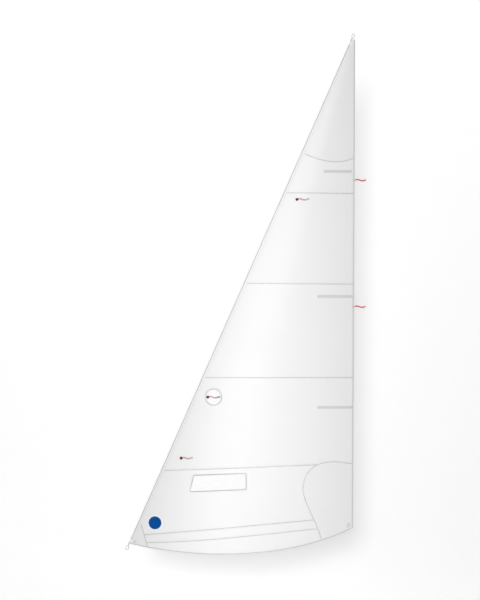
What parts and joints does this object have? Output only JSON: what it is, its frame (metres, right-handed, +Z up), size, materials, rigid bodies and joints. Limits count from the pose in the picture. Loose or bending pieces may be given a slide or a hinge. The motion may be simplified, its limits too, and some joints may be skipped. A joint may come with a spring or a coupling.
{
  "type": "jib sail",
  "caption": "Triangular dinghy jib with a wire luff, seamed cloths, corner patches, windows, battens and telltales, shown hoisted and filled.",
  "frame": {"origin": "centre of the tack thimble's eye, on the axis of the luff wire", "axes": "+X aft, +Z up, +Y to starboard; the sail stands in the XZ plane with its belly towards -Y"},
  "size_m": [1.8021, 0.1478, 3.8889],
  "materials": {
    "sailcloth": "matte",
    "patch_cloth": "matte",
    "tape": "matte",
    "pocket": "matte",
    "window_film": "gloss",
    "wire": "satin",
    "fittings": "satin",
    "batten": "satin",
    "dot_red": "matte",
    "dot_green": "matte",
    "ribbon_red": "satin",
    "ribbon_green": "satin",
    "emblem_white": "satin",
    "emblem_blue": "satin"
  },
  "bodies": {
    "wire": {"luff_wire": "wire", "tack_thimble": "fittings", "head_thimble": "fittings", "tack_ferrule": "fittings", "head_ferrule": "fittings"},
    "sail": {"foot_skirt": "sailcloth", "foot_band": "sailcloth", "panel_1": "sailcloth", "panel_2": "sailcloth", "panel_3": "sailcloth", "panel_4": "sailcloth", "head_panel": "sailcloth", "head_patch_port": "patch_cloth", "head_patch_starboard": "patch_cloth", "tack_patch_port": "patch_cloth", "tack_patch_starboard": "patch_cloth", "clew_patch_port": "patch_cloth", "clew_patch_starboard": "patch_cloth", "luff_sleeve": "tape", "leech_tape": "tape", "foot_tape": "tape", "clew_eyelet": "fittings", "clew_eyelet_washer": "fittings", "tack_eyelet": "fittings", "tack_eyelet_washer": "fittings", "upper_batten_pocket": "pocket", "middle_batten_pocket": "pocket", "lower_batten_pocket": "pocket", "foot_window": "window_film", "telltale_window": "window_film", "emblem_backing": "emblem_white", "emblem_disc": "emblem_blue", "upper_telltale_dot_port": "dot_red", "upper_telltale_dot_starboard": "dot_green", "middle_telltale_dot_port": "dot_red", "middle_telltale_dot_starboard": "dot_green", "lower_telltale_dot_port": "dot_red", "lower_telltale_dot_starboard": "dot_green", "upper_leech_ribbon_tab": "tape", "lower_leech_ribbon_tab": "tape"},
    "upper_batten": {"upper_batten": "batten"},
    "middle_batten": {"middle_batten": "batten"},
    "lower_batten": {"lower_batten": "batten"},
    "upper_telltale_tail_port": {"upper_telltale_tail_port": "ribbon_red"},
    "upper_telltale_tail_starboard": {"upper_telltale_tail_starboard": "ribbon_green"},
    "middle_telltale_tail_port": {"middle_telltale_tail_port": "ribbon_red"},
    "middle_telltale_tail_starboard": {"middle_telltale_tail_starboard": "ribbon_green"},
    "lower_telltale_tail_port": {"lower_telltale_tail_port": "ribbon_red"},
    "lower_telltale_tail_starboard": {"lower_telltale_tail_starboard": "ribbon_green"},
    "upper_leech_ribbon": {"upper_leech_ribbon": "ribbon_red"},
    "lower_leech_ribbon": {"lower_leech_ribbon": "ribbon_red"}
  },
  "joints": [
    {"name": "sail_swing", "type": "hinge", "parent": "wire", "child": "sail", "pos_m": [0, 0, 0], "axis": [0.4039, 0, 0.9148], "range_deg": [-90, 90]},
    {"name": "upper_batten_slide", "type": "slide", "parent": "sail", "child": "upper_batten", "axis": [0.991, 0.1337, 0], "range_m": [0, 0.205]},
    {"name": "middle_batten_slide", "type": "slide", "parent": "sail", "child": "middle_batten", "axis": [0.991, 0.1337, 0], "range_m": [0, 0.263]},
    {"name": "lower_batten_slide", "type": "slide", "parent": "sail", "child": "lower_batten", "axis": [0.991, 0.1337, 0], "range_m": [0, 0.259]},
    {"name": "upper_port_tail_swing", "type": "hinge", "parent": "sail", "child": "upper_telltale_tail_port", "pos_m": [1.27005, -0.03713, 2.60762], "axis": [-0.1837, -0.9786, 0.0926], "range_deg": [-110, 110]},
    {"name": "upper_starboard_tail_swing", "type": "hinge", "parent": "sail", "child": "upper_telltale_tail_starboard", "pos_m": [1.27005, -0.03713, 2.60762], "axis": [0.1837, 0.9786, -0.0926], "range_deg": [-110, 110]},
    {"name": "middle_port_tail_swing", "type": "hinge", "parent": "sail", "child": "middle_telltale_tail_port", "pos_m": [0.60405, -0.04127, 1.13132], "axis": [-0.3379, -0.9291, 0.1503], "range_deg": [-110, 110]},
    {"name": "middle_starboard_tail_swing", "type": "hinge", "parent": "sail", "child": "middle_telltale_tail_starboard", "pos_m": [0.60405, -0.04127, 1.13132], "axis": [0.3379, 0.9291, -0.1503], "range_deg": [-110, 110]},
    {"name": "lower_port_tail_swing", "type": "hinge", "parent": "sail", "child": "lower_telltale_tail_port", "pos_m": [0.40525, -0.04259, 0.67612], "axis": [-0.3379, -0.9291, 0.1503], "range_deg": [-110, 110]},
    {"name": "lower_starboard_tail_swing", "type": "hinge", "parent": "sail", "child": "lower_telltale_tail_starboard", "pos_m": [0.40525, -0.04259, 0.67612], "axis": [0.3379, 0.9291, -0.1503], "range_deg": [-110, 110]},
    {"name": "upper_ribbon_swing", "type": "hinge", "parent": "sail", "child": "upper_leech_ribbon", "pos_m": [1.70323, -0.00159, 2.75192], "axis": [0.0044, 0, 1], "range_deg": [-100, 100]},
    {"name": "lower_ribbon_swing", "type": "hinge", "parent": "sail", "child": "lower_leech_ribbon", "pos_m": [1.69905, -0.00159, 1.80632], "axis": [0.0044, 0, 1], "range_deg": [-100, 100]}
  ]
}
